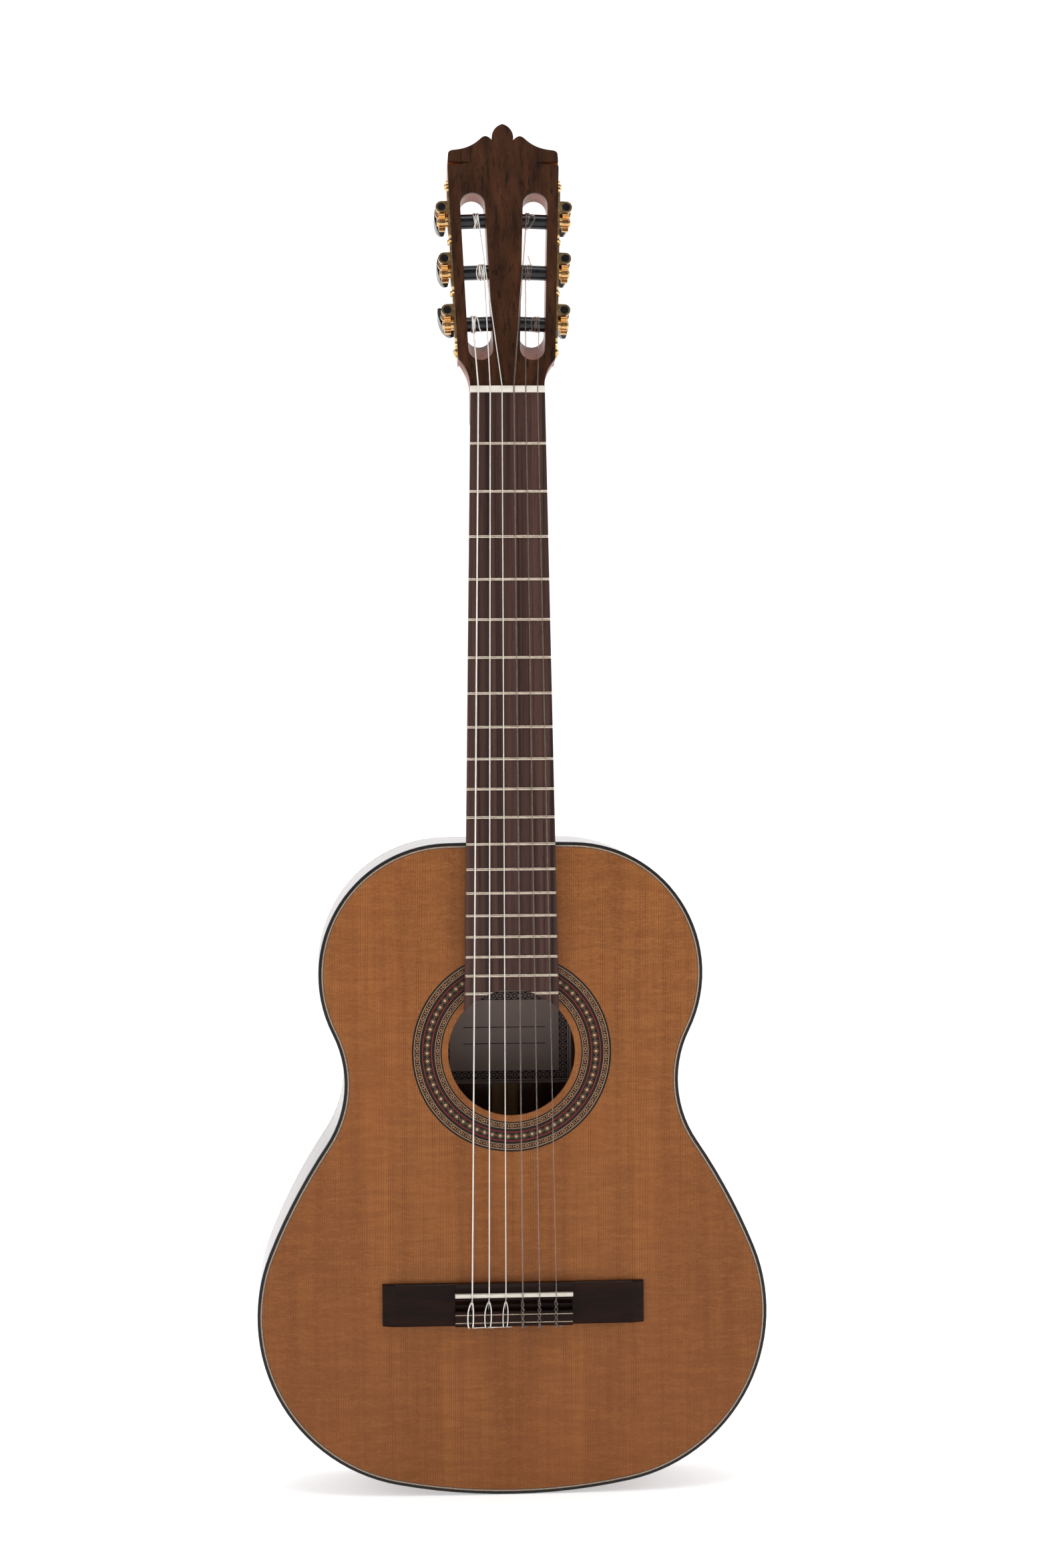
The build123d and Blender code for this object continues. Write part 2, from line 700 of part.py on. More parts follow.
with BuildPart() as bridge:
    with BuildSketch(Plane.YZ.offset(-BLOCK_L / 2)):
        with BuildLine():
            Polyline(
                (height_at(0), BRIDGE_LOW),
                (height_at(BRIDGE_H - 0.6), BRIDGE_LOW),
                (height_at(BRIDGE_H), BRIDGE_LOW + 0.6),
                (height_at(BRIDGE_H), TIE_HIGH - 0.6),
                (height_at(BRIDGE_H - 0.6), TIE_HIGH),
                (height_at(3.0), TIE_HIGH + 0.5),
                (height_at(3.4), TIE_HIGH + 4.0),
                (height_at(6.8), SADDLE_LOW - 2.6),
                (height_at(7.2), SADDLE_LOW),
                (height_at(SADDLE_FLOOR), SADDLE_LOW),
                (height_at(SADDLE_FLOOR), SADDLE_HIGH),
                (height_at(8.6), SADDLE_HIGH),
                (height_at(8.4), BRIDGE_HIGH - 2.4),
                (height_at(6.6), BRIDGE_HIGH),
                (height_at(0), BRIDGE_HIGH),
                close=True,
            )
        make_face()
    extrude(amount=BLOCK_L)
    for side in (-1, 1):
        inner = side * BLOCK_L / 2
        outer = side * BRIDGE_L / 2
        with BuildSketch(Plane.XY.offset(BRIDGE_LOW)):
            with BuildLine():
                Polyline(
                    (inner, height_at(0)),
                    (inner, height_at(WING_H + 0.6)),
                    (outer - side * 8.3, height_at(WING_H)),
                    (outer, height_at(1.7)),
                    (outer, height_at(0)),
                    close=True,
                )
            make_face()
        extrude(amount=BRIDGE_HIGH - BRIDGE_LOW)
    wing_tops = bridge.edges().filter_by(lambda e: abs(e.center().X) > BLOCK_L / 2 + 4
                                         and e.center().Y < height_at(1.9)
                                         and abs(e.tangent_at(0.5).Z) < 0.1)
    chamfer(wing_tops, length=1.1)
    for number in STRINGS:
        with BuildSketch(Plane.XY.offset(BRIDGE_LOW - 1)):
            with Locations((string_x(number, SADDLE_SPREAD), height_at(TIE_HOLE_H))):
                Circle(TIE_HOLE_R)
        extrude(amount=TIE_HIGH - BRIDGE_LOW + 2.2, mode=Mode.SUBTRACT)
    for middle in INLAYS:
        with Locations((0, height_at(BRIDGE_H) + INLAY_T / 2, middle)):
            Box(BLOCK_L + 1, INLAY_T, INLAY_W, mode=Mode.SUBTRACT)
write(bridge.part, "bridge")

with BuildPart() as bridge_inlays:
    for middle in INLAYS:
        with Locations((0, height_at(BRIDGE_H) + INLAY_T / 2, middle)):
            Box(BLOCK_L, INLAY_T, INLAY_W)
write(bridge_inlays.part, "bridge_inlays")

with BuildPart() as saddle:
    with BuildSketch(Plane.YZ.offset(-BLOCK_L / 2)):
        with BuildLine():
            Polyline(
                (height_at(SADDLE_FLOOR), SADDLE_LOW),
                (height_at(SADDLE_FLOOR), SADDLE_HIGH),
                (height_at(STRING_OVER_TOP - 0.5), SADDLE_HIGH),
                (height_at(STRING_OVER_TOP - 0.1), SADDLE_HIGH - 0.35),
                (height_at(STRING_OVER_TOP - 0.03), SADDLE_Z + 0.3),
                (height_at(STRING_OVER_TOP - 0.35), SADDLE_Z - 0.25),
                (height_at(STRING_OVER_TOP - 1.6), SADDLE_LOW),
                close=True,
            )
        make_face()
    extrude(amount=BLOCK_L)
write(saddle.part, "saddle")

for number, (thick, place, landing) in STRINGS.items():
    write(wire(STRING_PATHS[number], thick / 2), f"string_{number}")

# ---------------------------------------------------------------- tuning machines
PLATE_LOW = -62.0
PLATE_HIGH = 69.0
SCREW_HEAD_R = 2.3
CAP_R = 2.9
CAP_T = 0.6
JOURNAL_R = 1.5
REAR_R = 1.75
LUG_OUT = PLATE_HALF_W


def plate_frame(side):
    """Local x outward, y along the side of the head, z toward the front of the head."""
    point, outward, upward = side_frame(side)
    return Plane(origin=point, x_dir=outward, z_dir=HEAD_OUT)


def plate_blank(side):
    """One side plate with its three pairs of lugs, in its own frame; y is turned by side."""
    with BuildPart() as plate:
        with BuildSketch(Plane.YZ):
            with BuildLine():
                Polyline(
                    (side * (PLATE_LOW + 4), -3.6),
                    (side * (PLATE_LOW + 9), -PLATE_HALF_W),
                    (side * (PLATE_HIGH - 9), -PLATE_HALF_W),
                    (side * (PLATE_HIGH - 4), -3.6),
                    (side * (PLATE_HIGH - 4), 3.6),
                    (side * (PLATE_HIGH - 9), PLATE_HALF_W),
                    (side * (PLATE_LOW + 9), PLATE_HALF_W),
                    (side * (PLATE_LOW + 4), 3.6),
                    close=True,
                )
            make_face()
            with Locations((side * (PLATE_LOW + 4.4), 0), (side * (PLATE_HIGH - 4.4), 0)):
                Circle(4.4)
            for place in (-1.5, -0.5, 0.5, 1.5):
                for edge in (-1, 1):
                    middle = side * (place * TUNER_PITCH + 4)
                    with Locations((middle, edge * (PLATE_HALF_W + 1.8))):
                        Circle(3.6, mode=Mode.SUBTRACT)
        extrude(amount=PLATE_T)
        for place in (-1, 0, 1):
            worm_y = side * (place * TUNER_PITCH + WORM_DISTANCE)
            for low in (LUG_IN, -LUG_OUT):
                with BuildSketch(Plane.XY.offset(low)):
                    with Locations((WORM_OUT, worm_y)):
                        Circle(LUG_R)
                    with Locations((WORM_OUT / 2, worm_y)):
                        Rectangle(WORM_OUT, 2 * LUG_R)
                extrude(amount=LUG_OUT - LUG_IN)
            with BuildSketch(Plane.XY.offset(LUG_OUT - CAP_T)):
                with Locations((WORM_OUT, worm_y)):
                    Circle(CAP_R)
            extrude(amount=CAP_T, mode=Mode.SUBTRACT)
            with BuildSketch(Plane.XY.offset(LUG_IN - 1)):
                with Locations((WORM_OUT, worm_y)):
                    Circle(JOURNAL_R + RUNNING_GAP)
            extrude(amount=1 + 1.6, mode=Mode.SUBTRACT)
            with BuildSketch(Plane.XY.offset(-LUG_OUT - 1)):
                with Locations((WORM_OUT, worm_y)):
                    Circle(REAR_R + RUNNING_GAP)
            extrude(amount=LUG_OUT - LUG_IN + 2, mode=Mode.SUBTRACT)
            with BuildSketch(Plane.YZ.offset(-1)):
                with Locations((side * place * TUNER_PITCH, 0)):
                    Circle(SHAFT_R + RUNNING_GAP)
            extrude(amount=PLATE_T + 2, mode=Mode.SUBTRACT)
        for along in SCREWS_AT:
            with BuildSketch(Plane.YZ.offset(-1)):
                with Locations((side * along, 0)):
                    Circle(SCREW_SHANK_R)
            extrude(amount=PLATE_T + 2, mode=Mode.SUBTRACT)
    return plate.part


def screws_blank(side):
    """The round-headed wood screws of one plate, each with a straight slot."""
    with BuildPart() as screws:
        for along in SCREWS_AT:
            with BuildSketch(Plane.YZ.offset(PLATE_T)):
                with Locations((side * along, 0)):
                    Circle(SCREW_HEAD_R)
            extrude(amount=1.2, taper=25)
            with BuildSketch(Plane.YZ.offset(-SCREW_IN)):
                with Locations((side * along, 0)):
                    Circle(SCREW_SHANK_R)
            extrude(amount=SCREW_IN + PLATE_T)
            with Locations((PLATE_T + 1.1, side * along, 0)):
                Box(0.7, 0.5, 6, mode=Mode.SUBTRACT)
    return screws.part


def caps_blank(side):
    with BuildPart() as caps:
        for place in (-1, 0, 1):
            with BuildSketch(Plane.XY.offset(LUG_OUT - CAP_T)):
                with Locations((WORM_OUT, side * (place * TUNER_PITCH + WORM_DISTANCE))):
                    Circle(CAP_R)
            extrude(amount=CAP_T)
    return caps.part


for side, name in ((-1, "plate_bass"), (1, "plate_treble")):
    write(plate_frame(side).location * plate_blank(side), name)
all_screws = [plate_frame(side).location * screws_blank(side) for side in (-1, 1)]
write(all_screws[0] + all_screws[1], "plate_screws")
all_caps = [plate_frame(side).location * caps_blank(side) for side in (-1, 1)]
write(all_caps[0] + all_caps[1], "worm_caps")

COLLAR_R = 3.1
COLLAR_BACK = -LUG_OUT - 1.6
SHAFT_END_R = 2.0
BUTTON_FRONT = -LUG_OUT - 8.2
BUTTON_DEEP = 15.0
BUTTON_BORE = 4.6
BUTTON_RIM = 0.9              # half thickness at the button's two ends
BUTTON_WAIST = 3.4            # half width where the shaft enters
THREAD_ROOT = 0.62
THREAD_CREST = 0.22

# worm: local z along its shaft toward the front of the head, local -x toward its gear
with BuildPart() as worm_blank:
    with BuildLine() as thread_path:
        Helix(pitch=LEAD, height=3 * LEAD, radius=WORM_CORE_R, center=(0, 0, -1.5 * LEAD))
    thread_start = thread_path.line @ 0
    with BuildSketch(Plane(origin=thread_start, x_dir=(1, 0, 0), z_dir=thread_path.line % 0)):
        with BuildLine():
            Polyline((-0.3, -THREAD_ROOT), (WORM_TIP_R - WORM_CORE_R, -THREAD_CREST),
                     (WORM_TIP_R - WORM_CORE_R, THREAD_CREST), (-0.3, THREAD_ROOT), close=True)
        make_face()
    sweep(path=thread_path.line, is_frenet=True)
    worm_end = LUG_IN - 0.1
    for radius, low, high in (
        (WORM_CORE_R, -worm_end, worm_end),
        (JOURNAL_R, worm_end, LUG_IN + 1.5),
        (REAR_R, -LUG_OUT - 0.1, -worm_end),
        (COLLAR_R, COLLAR_BACK, -LUG_OUT - 0.1),
        (SHAFT_END_R, BUTTON_FRONT - BUTTON_BORE, COLLAR_BACK),
    ):
        with BuildSketch(Plane.XY.offset(low)):
            Circle(radius)
        extrude(amount=high - low)

with BuildPart() as button_blank:
    with BuildSketch(Plane.XY.offset(BUTTON_FRONT)):
        with BuildLine():
            ThreePointArc((-BUTTON_L / 2, BUTTON_RIM), (0, BUTTON_T / 2), (BUTTON_L / 2, BUTTON_RIM))
            Line((BUTTON_L / 2, BUTTON_RIM), (BUTTON_L / 2, -BUTTON_RIM))
            ThreePointArc((BUTTON_L / 2, -BUTTON_RIM), (0, -BUTTON_T / 2), (-BUTTON_L / 2, -BUTTON_RIM))
            Line((-BUTTON_L / 2, -BUTTON_RIM), (-BUTTON_L / 2, BUTTON_RIM))
        make_face()
    extrude(amount=-BUTTON_DEEP)
    with BuildSketch(Plane.XZ):
        with BuildLine():
            Polyline((-BUTTON_WAIST, BUTTON_FRONT), (BUTTON_WAIST, BUTTON_FRONT), (BUTTON_L / 2, BUTTON_FRONT - 4.6))
            ThreePointArc((BUTTON_L / 2, BUTTON_FRONT - 4.6), (0, BUTTON_FRONT - BUTTON_DEEP),
                          (-BUTTON_L / 2, BUTTON_FRONT - 4.6))
            Line((-BUTTON_L / 2, BUTTON_FRONT - 4.6), (-BUTTON_WAIST, BUTTON_FRONT))
        make_face()
    extrude(amount=BUTTON_T, both=True, mode=Mode.INTERSECT)
    fillet(button_blank.edges(), radius=0.55)
    with BuildSketch(Plane.XY.offset(BUTTON_FRONT + 1)):
        Circle(SHAFT_END_R)
    extrude(amount=-BUTTON_BORE - 1, mode=Mode.SUBTRACT)

GEAR_HALF_W = 2.2
GEAR_HUB_R = 3.6

# gear: local z outward from the head, local x up the head; a tooth space faces +x
with BuildPart() as gear_blank:
    with BuildSketch(Plane.XY.offset(WORM_OUT - GEAR_HALF_W)):
        Circle(GEAR_ROOT_R)
        for tooth in range(GEAR_TEETH):
            middle = 2 * pi * (tooth + 0.5) / GEAR_TEETH
            with BuildLine():
                corners = [
                    (radius * cos(middle + turn), radius * sin(middle + turn))
                    for radius, turn in (
                        (GEAR_ROOT_R - 0.2, -radians(9)),
                        (GEAR_TIP_R, -radians(2.8)),
                        (GEAR_TIP_R, radians(2.8)),
                        (GEAR_ROOT_R - 0.2, radians(9)),
                    )
                ]
                Polyline(*corners, close=True)
            make_face()
    extrude(amount=2 * GEAR_HALF_W)
    with BuildSketch(Plane.XY.offset(PLATE_T + 0.12)):
        Circle(GEAR_HUB_R)
    extrude(amount=WORM_OUT - GEAR_HALF_W - PLATE_T - 0.12)
    with BuildSketch(Plane.XY):
        Circle(SHAFT_R)
    extrude(amount=20, mode=Mode.SUBTRACT)

with BuildPart() as gear_screw:
    screw_seat = WORM_OUT + GEAR_HALF_W
    with BuildSketch(Plane.XY.offset(screw_seat)):
        Circle(3.0)
    extrude(amount=1.3, taper=18)
    with BuildSketch(Plane.XY.offset(screw_seat - 1.6)):
        Circle(SHAFT_R)
    extrude(amount=1.6)
    with Locations((0, 0, screw_seat + 1.2)):
        Box(0.6, 8, 0.7, mode=Mode.SUBTRACT)

with BuildPart() as roller_blank:
    with BuildSketch(Plane.XY.offset(-ROLLER_BORE_DEEP + 0.2)):
        Circle(ROLLER_R)
    extrude(amount=ROLLER_BORE_DEEP - 0.35)
    with BuildSketch(Plane.XY.offset(-0.15)):
        Circle(SHAFT_R)
    extrude(amount=0.15 + WORM_OUT + 0.6)

BUTTON_TURNS = {6: 22.0, 5: 8.0, 4: 4.0, 3: -6.0, 2: -4.0, 1: 10.0}
for number, (thick, place, landing) in STRINGS.items():
    side = -1 if number > 3 else 1
    point, outward, upward = side_frame(side)
    centre = roller_centre(side, place)
    roller_axis = Plane(origin=centre, x_dir=upward, z_dir=outward)
    worm_point = centre + upward * WORM_DISTANCE + outward * WORM_OUT
    worm_axis = Plane(origin=worm_point, x_dir=upward, z_dir=HEAD_OUT)
    write(roller_axis.location * roller_blank.part, f"roller_{number}")
    write(roller_axis.location * (gear_blank.part + gear_screw.part), f"gear_{number}")
    write(worm_axis.location * worm_blank.part, f"worm_{number}")
    turned = worm_axis.location * Location((0, 0, 0), (0, 0, BUTTON_TURNS[number]))
    write(turned * button_blank.part, f"button_{number}")
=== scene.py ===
import json
from math import cos, pi, radians, sin

import bpy
from mathutils import Matrix, Vector


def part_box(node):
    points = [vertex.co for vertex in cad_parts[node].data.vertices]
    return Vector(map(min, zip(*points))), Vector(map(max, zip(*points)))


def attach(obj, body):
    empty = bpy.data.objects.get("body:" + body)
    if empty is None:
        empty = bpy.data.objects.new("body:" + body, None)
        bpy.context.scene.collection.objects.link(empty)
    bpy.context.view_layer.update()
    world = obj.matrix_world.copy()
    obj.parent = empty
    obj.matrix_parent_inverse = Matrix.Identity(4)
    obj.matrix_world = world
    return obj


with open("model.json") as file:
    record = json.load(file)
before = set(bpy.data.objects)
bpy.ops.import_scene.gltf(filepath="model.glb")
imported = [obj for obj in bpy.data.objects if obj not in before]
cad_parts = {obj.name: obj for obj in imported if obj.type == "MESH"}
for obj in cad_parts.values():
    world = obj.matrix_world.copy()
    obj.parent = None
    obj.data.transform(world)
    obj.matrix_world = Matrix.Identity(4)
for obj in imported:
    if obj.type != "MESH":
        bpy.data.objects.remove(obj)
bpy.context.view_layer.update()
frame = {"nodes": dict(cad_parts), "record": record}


# ------------------------------------------------------------ floor
# A wide round floor of pale studio paper under a white surround. The guitar stands on its tail,
# and the floor is not part of the object.
FLOOR_R = 14.0
PLY_R = 5.0
bpy.ops.object.select_all(action="DESELECT")
bpy.ops.mesh.primitive_circle_add(vertices=128, radius=FLOOR_R, fill_type="NGON", location=(0, 0, -0.0002))
floor = bpy.context.object
floor.name = "studio_floor"
bpy.ops.object.mode_set(mode="EDIT")
bpy.ops.mesh.select_all(action="SELECT")
bpy.ops.mesh.inset(thickness=FLOOR_R - PLY_R, depth=0)
bpy.ops.object.mode_set(mode="OBJECT")
bpy.ops.object.transform_apply(location=True, rotation=True, scale=True)


def finish(name, color, roughness=0.5, metallic=0.0, coat=0.0, coat_roughness=0.1):
    """A new material with its plain settings made. Returns the material and its nodes."""
    material = bpy.data.materials.new(name)
    material.use_nodes = True
    shader = material.node_tree.nodes["Principled BSDF"]
    shader.inputs["Base Color"].default_value = (*color, 1)
    shader.inputs["Roughness"].default_value = roughness
    shader.inputs["Metallic"].default_value = metallic
    shader.inputs["Coat Weight"].default_value = coat
    shader.inputs["Coat Roughness"].default_value = coat_roughness
    return material, Graph(material.node_tree, shader)


class Graph:
    """A short way to lay out the nodes of one finish."""

    def __init__(self, tree, shader):
        self.tree = tree
        self.shader = shader
        self.place = tree.nodes.new("ShaderNodeTexCoord").outputs["Object"]

    def node(self, kind, *inputs, **settings):
        made = self.tree.nodes.new("ShaderNode" + kind)
        for name, value in settings.items():
            setattr(made, name, value)
        for socket, value in zip(made.inputs, inputs):
            self.put(socket, value)
        return made

    def put(self, socket, value):
        if isinstance(value, bpy.types.NodeSocket):
            self.tree.links.new(value, socket)
        elif value is not None:
            socket.default_value = value

    def math(self, operation, a, b=0.0, c=0.0):
        return self.node("Math", a, b, c, operation=operation).outputs[0]

    def stretched(self, scale, turn=(0, 0, 0), shift=(0, 0, 0), source=None):
        """The object's own coordinates, scaled, turned and moved."""
        made = self.node("Mapping", source or self.place)
        made.inputs["Scale"].default_value = scale
        made.inputs["Rotation"].default_value = turn
        made.inputs["Location"].default_value = shift
        return made.outputs[0]

    def noise(self, vector, scale=1.0, detail=3.0, roughness=0.55, distortion=0.0):
        made = self.node("TexNoise")
        self.put(made.inputs["Vector"], vector)
        made.inputs["Scale"].default_value = scale
        made.inputs["Detail"].default_value = detail
        made.inputs["Roughness"].default_value = roughness
        made.inputs["Distortion"].default_value = distortion
        return made.outputs["Fac"]

    def ramp(self, factor, stops, interpolation="LINEAR"):
        made = self.node("ValToRGB", factor)
        band = made.color_ramp
        band.interpolation = interpolation
        while len(band.elements) < len(stops):
            band.elements.new(1.0)
        for element, (position, color) in zip(band.elements, stops):
            element.position = position
            element.color = (*color, 1) if len(color) == 3 else color
        return made.outputs["Color"]

    def level(self, factor, low, high, bottom=0.0, top=1.0):
        """A value spread between two levels, and held at each end."""
        made = self.node("MapRange", factor, low, high, bottom, top)
        return made.outputs["Result"]

    def mix(self, factor, a, b, blend="MIX"):
        made = self.tree.nodes.new("ShaderNodeMix")
        made.data_type = "RGBA"
        made.blend_type = blend
        self.put(made.inputs["Factor"], factor)
        for socket, value in ((made.inputs["A"], a), (made.inputs["B"], b)):
            self.put(socket, (*value, 1) if isinstance(value, tuple) and len(value) == 3 else value)
        return made.outputs["Result"]

    def split(self, vector=None):
        return self.node("SeparateXYZ", vector or self.place).outputs

    def color(self, value):
        self.put(self.shader.inputs["Base Color"], value)

    def rough(self, value):
        self.put(self.shader.inputs["Roughness"], value)

    def bump(self, height, strength, distance):
        made = self.node("Bump")
        made.inputs["Strength"].default_value = strength
        made.inputs["Distance"].default_value = distance
        self.put(made.inputs["Height"], height)
        self.put(self.shader.inputs["Normal"], made.outputs["Normal"])


def srgb(red, green, blue):
    """A colour read off a paint card, 0 to 255, as linear light."""
    shares = (red / 255, green / 255, blue / 255)
    return tuple(s / 12.92 if s <= 0.04045 else ((s + 0.055) / 1.055) ** 2.4 for s in shares)


def dress(node, material):
    """Gives a finish to one CAD node or piece."""
    piece = frame["nodes"][node] if isinstance(node, str) else node
    if not piece.data.materials:
        piece.data.materials.append(material)
    for index in range(len(piece.data.materials)):
        piece.data.materials[index] = material


paper, graph = finish("studio_paper", (0.87, 0.87, 0.87), roughness=0.9)
fibre = graph.noise(graph.stretched((40, 40, 40)), detail=4)
tint = graph.mix(graph.level(fibre, 0.3, 0.7), (0.90, 0.90, 0.90), (0.92, 0.92, 0.92))
graph.color(tint)
graph.put(graph.shader.inputs["Emission Color"], tint)
graph.shader.inputs["Emission Strength"].default_value = 0.5
dress(floor, paper)


# ------------------------------------------------------------ light and camera
# Two tall soft boxes either side of the camera, one overhead, and a white surround, as
# in a plain studio. The camera stands a little to the bass side.
world = bpy.data.worlds.new("white_surround")
bpy.context.scene.world = world
world.use_nodes = True
BEHIND_GLOW = 1.25
FRONT_GLOW = 0.17
tree = world.node_tree
heading = tree.nodes.new("ShaderNodeSeparateXYZ")
tree.links.new(tree.nodes.new("ShaderNodeTexCoord").outputs["Generated"], heading.inputs[0])
fade = tree.nodes.new("ShaderNodeMapRange")
fade.interpolation_type = "SMOOTHSTEP"
tree.links.new(heading.outputs["Y"], fade.inputs["Value"])
for socket, value in (("From Min", -0.55), ("From Max", 0.35),
                      ("To Min", FRONT_GLOW), ("To Max", BEHIND_GLOW)):
    fade.inputs[socket].default_value = value
tree.links.new(fade.outputs["Result"], tree.nodes["Background"].inputs["Strength"])
tree.nodes["Background"].inputs["Color"].default_value = (1, 1, 1, 1)


def soft_box(name, place, aim, width, height, watts):
    light = bpy.data.lights.new(name, "AREA")
    light.shape = "RECTANGLE"
    light.size = width
    light.size_y = height
    light.energy = watts
    lamp = bpy.data.objects.new(name, light)
    bpy.context.scene.collection.objects.link(lamp)
    lamp.location = place
    lamp.rotation_euler = (Vector(aim) - Vector(place)).to_track_quat("-Z", "Y").to_euler()


MID = (0, 0, 0.5)
soft_box("left_box", (-2.2, -1.5, 1.3), MID, 0.9, 1.8, 18)
soft_box("right_box", (2.3, -1.4, 1.2), MID, 0.9, 1.8, 21)
soft_box("top_box", (0, -0.9, 2.6), MID, 1.6, 0.9, 14)

CAMERA_AT = (-0.1322, -2.2181, 0.5628)
CAMERA_TURN = (-1.613, 0.374, -3.722)      # pitch, roll and yaw in degrees
LENS = 71.5
camera_data = bpy.data.cameras.new("camera")
camera_data.sensor_fit = "AUTO"
camera_data.sensor_width = 36.0
camera_data.lens = LENS
camera = bpy.data.objects.new("camera", camera_data)
bpy.context.scene.collection.objects.link(camera)
pitch, roll, yaw = (radians(angle) for angle in CAMERA_TURN)
facing = Matrix.Rotation(yaw, 4, "Z") @ Matrix.Rotation(pitch, 4, "X") @ Matrix.Rotation(roll, 4, "Y")
camera.matrix_world = Matrix.Translation(CAMERA_AT) @ facing @ Matrix.Rotation(pi / 2, 4, "X")
bpy.context.scene.camera = camera
bpy.context.scene.view_settings.view_transform = "Standard"


# ------------------------------------------------------------ soundboard
# Two book-matched halves of straight-grained cedar under clear lacquer. The annual rings show
# as fine dark lines, and a silky ripple runs across them. Painted shade darkens its lower part.
MM = 0.001
CEDAR_LIGHT = srgb(164, 102, 50)
CEDAR_DARK = srgb(130, 76, 33)
CEDAR_LINE = srgb(84, 40, 13)
SILK_LIGHT = srgb(174, 114, 62)
RING_PITCH = 1.15 * MM
cedar, graph = finish("lacquered_cedar", CEDAR_LIGHT, roughness=0.5, coat=0.06, coat_roughness=0.2)
graph.shader.inputs["Specular IOR Level"].default_value = 0.2
x, y, z = graph.split()[:3]
mirrored = graph.math("ABSOLUTE", x)
wander = graph.noise(graph.stretched((9, 9, 1.4)), detail=2)
across = graph.math("MULTIPLY_ADD", wander, 6 * MM, mirrored)


def by_ring(scale, detail, lengthwise=0.0):
    """Noise that changes across the grain, and hardly or not at all along it."""
    point = graph.node("CombineXYZ", across, 0.0, graph.math("MULTIPLY", z, lengthwise)).outputs[0]
    return graph.noise(point, scale=scale, detail=detail)


uneven = by_ring(130, 1)
rings = graph.math("MULTIPLY_ADD", uneven, 2.2, graph.math("DIVIDE", across, RING_PITCH))
saw = graph.math("FRACT", rings)
line = graph.level(graph.math("ABSOLUTE", graph.math("SUBTRACT", saw, 0.5)), 0.16, 0.46)
strength = by_ring(210, 2, 0.03)
broad = by_ring(34, 4, 0.08)
silk = graph.noise(graph.stretched((300, 60, 1000), turn=(0, radians(5), 0)),
                   detail=3, roughness=0.65, distortion=1.2)
ripple = graph.noise(graph.stretched((34, 30, 210), turn=(0, radians(-6), 0)), detail=2, distortion=0.8)
patches = graph.noise(graph.stretched((16, 16, 9)), detail=3)
wood = graph.mix(graph.level(broad, 0.34, 0.66), CEDAR_DARK, CEDAR_LIGHT)
wood = graph.mix(graph.math("MULTIPLY", line, graph.level(strength, 0.34, 0.66, 0.36, 1.0)), wood, CEDAR_LINE)
wood = graph.mix(graph.level(silk, 0.40, 0.66, 0.0, 0.48), wood, SILK_LIGHT)
wood = graph.mix(graph.level(ripple, 0.40, 0.62, 0.30, 0.0), wood, srgb(106, 57, 22))
wood = graph.mix(graph.math("MULTIPLY", graph.level(patches, 0.45, 0.75), 0.22), wood, srgb(158, 90, 44))
# painted shade: below about 0.44 m a darker brown is mixed in, strongest at the foot, standing in for light
# falling from above
wood = graph.mix(graph.level(z, 0.10, 0.44, 0.34, 0.0), wood, srgb(112, 58, 20))
graph.color(wood)
graph.rough(graph.level(silk, 0.3, 0.7, 0.42, 0.55))
graph.bump(graph.math("MULTIPLY_ADD", line, -0.6, silk), 0.08, 0.15 * MM)
dress("soundboard", cedar)


# ------------------------------------------------------------ rosette
# A ring of dyed veneer mosaic let into the top: two narrow chain bands between pale lines,
# and a wider band of linked diamonds between red lines.
hole_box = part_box("rosette")
ROSETTE_OUT = (hole_box[1][2] - hole_box[0][2]) / 2
HOLE_Z = hole_box[1][2] - ROSETTE_OUT
INK = srgb(20, 15, 13)
BONE_LINE = srgb(150, 122, 94)
RED_LINE = srgb(116, 34, 26)
MAROON = srgb(46, 20, 15)
TAN = srgb(156, 120, 80)
# outer radius of each ring in millimetres from the hole's centre, from the inside out
RINGS = (
    (50.1, INK), (50.6, BONE_LINE), (53.6, MAROON), (54.1, BONE_LINE), (56.0, INK), (56.8, RED_LINE),
    (62.2, INK), (63.0, RED_LINE), (64.7, INK), (65.2, BONE_LINE), (68.3, MAROON), (68.8, BONE_LINE),
    (71.0, INK),
)
mosaic, graph = finish("rosette_mosaic", INK, roughness=0.45, coat=0.06, coat_roughness=0.2)
graph.shader.inputs["Specular IOR Level"].default_value = 0.2
x, y, z = graph.split()[:3]
rise = graph.math("SUBTRACT", z, HOLE_Z)
run = graph.math("SQRT", graph.math("ADD", graph.math("MULTIPLY", x, x), graph.math("MULTIPLY", rise, rise)))
radius = graph.math("DIVIDE", run, MM)
turn = graph.math("DIVIDE", graph.math("ARCTAN2", x, rise), 2 * pi)
RING_SPAN = 30.0
RING_START = 45.0
share = graph.level(radius, RING_START, RING_START + RING_SPAN)
edges = [0.0] + [(outer - RING_START) / RING_SPAN for outer, _ in RINGS[:-1]]
base = graph.ramp(share, [(edge, color) for edge, (_, color) in zip(edges, RINGS)], "CONSTANT")


def inside(value, half):
    """One where a value's size is under half, with a soft edge."""
    return graph.level(graph.math("ABSOLUTE", value), half + 0.06, half - 0.06)


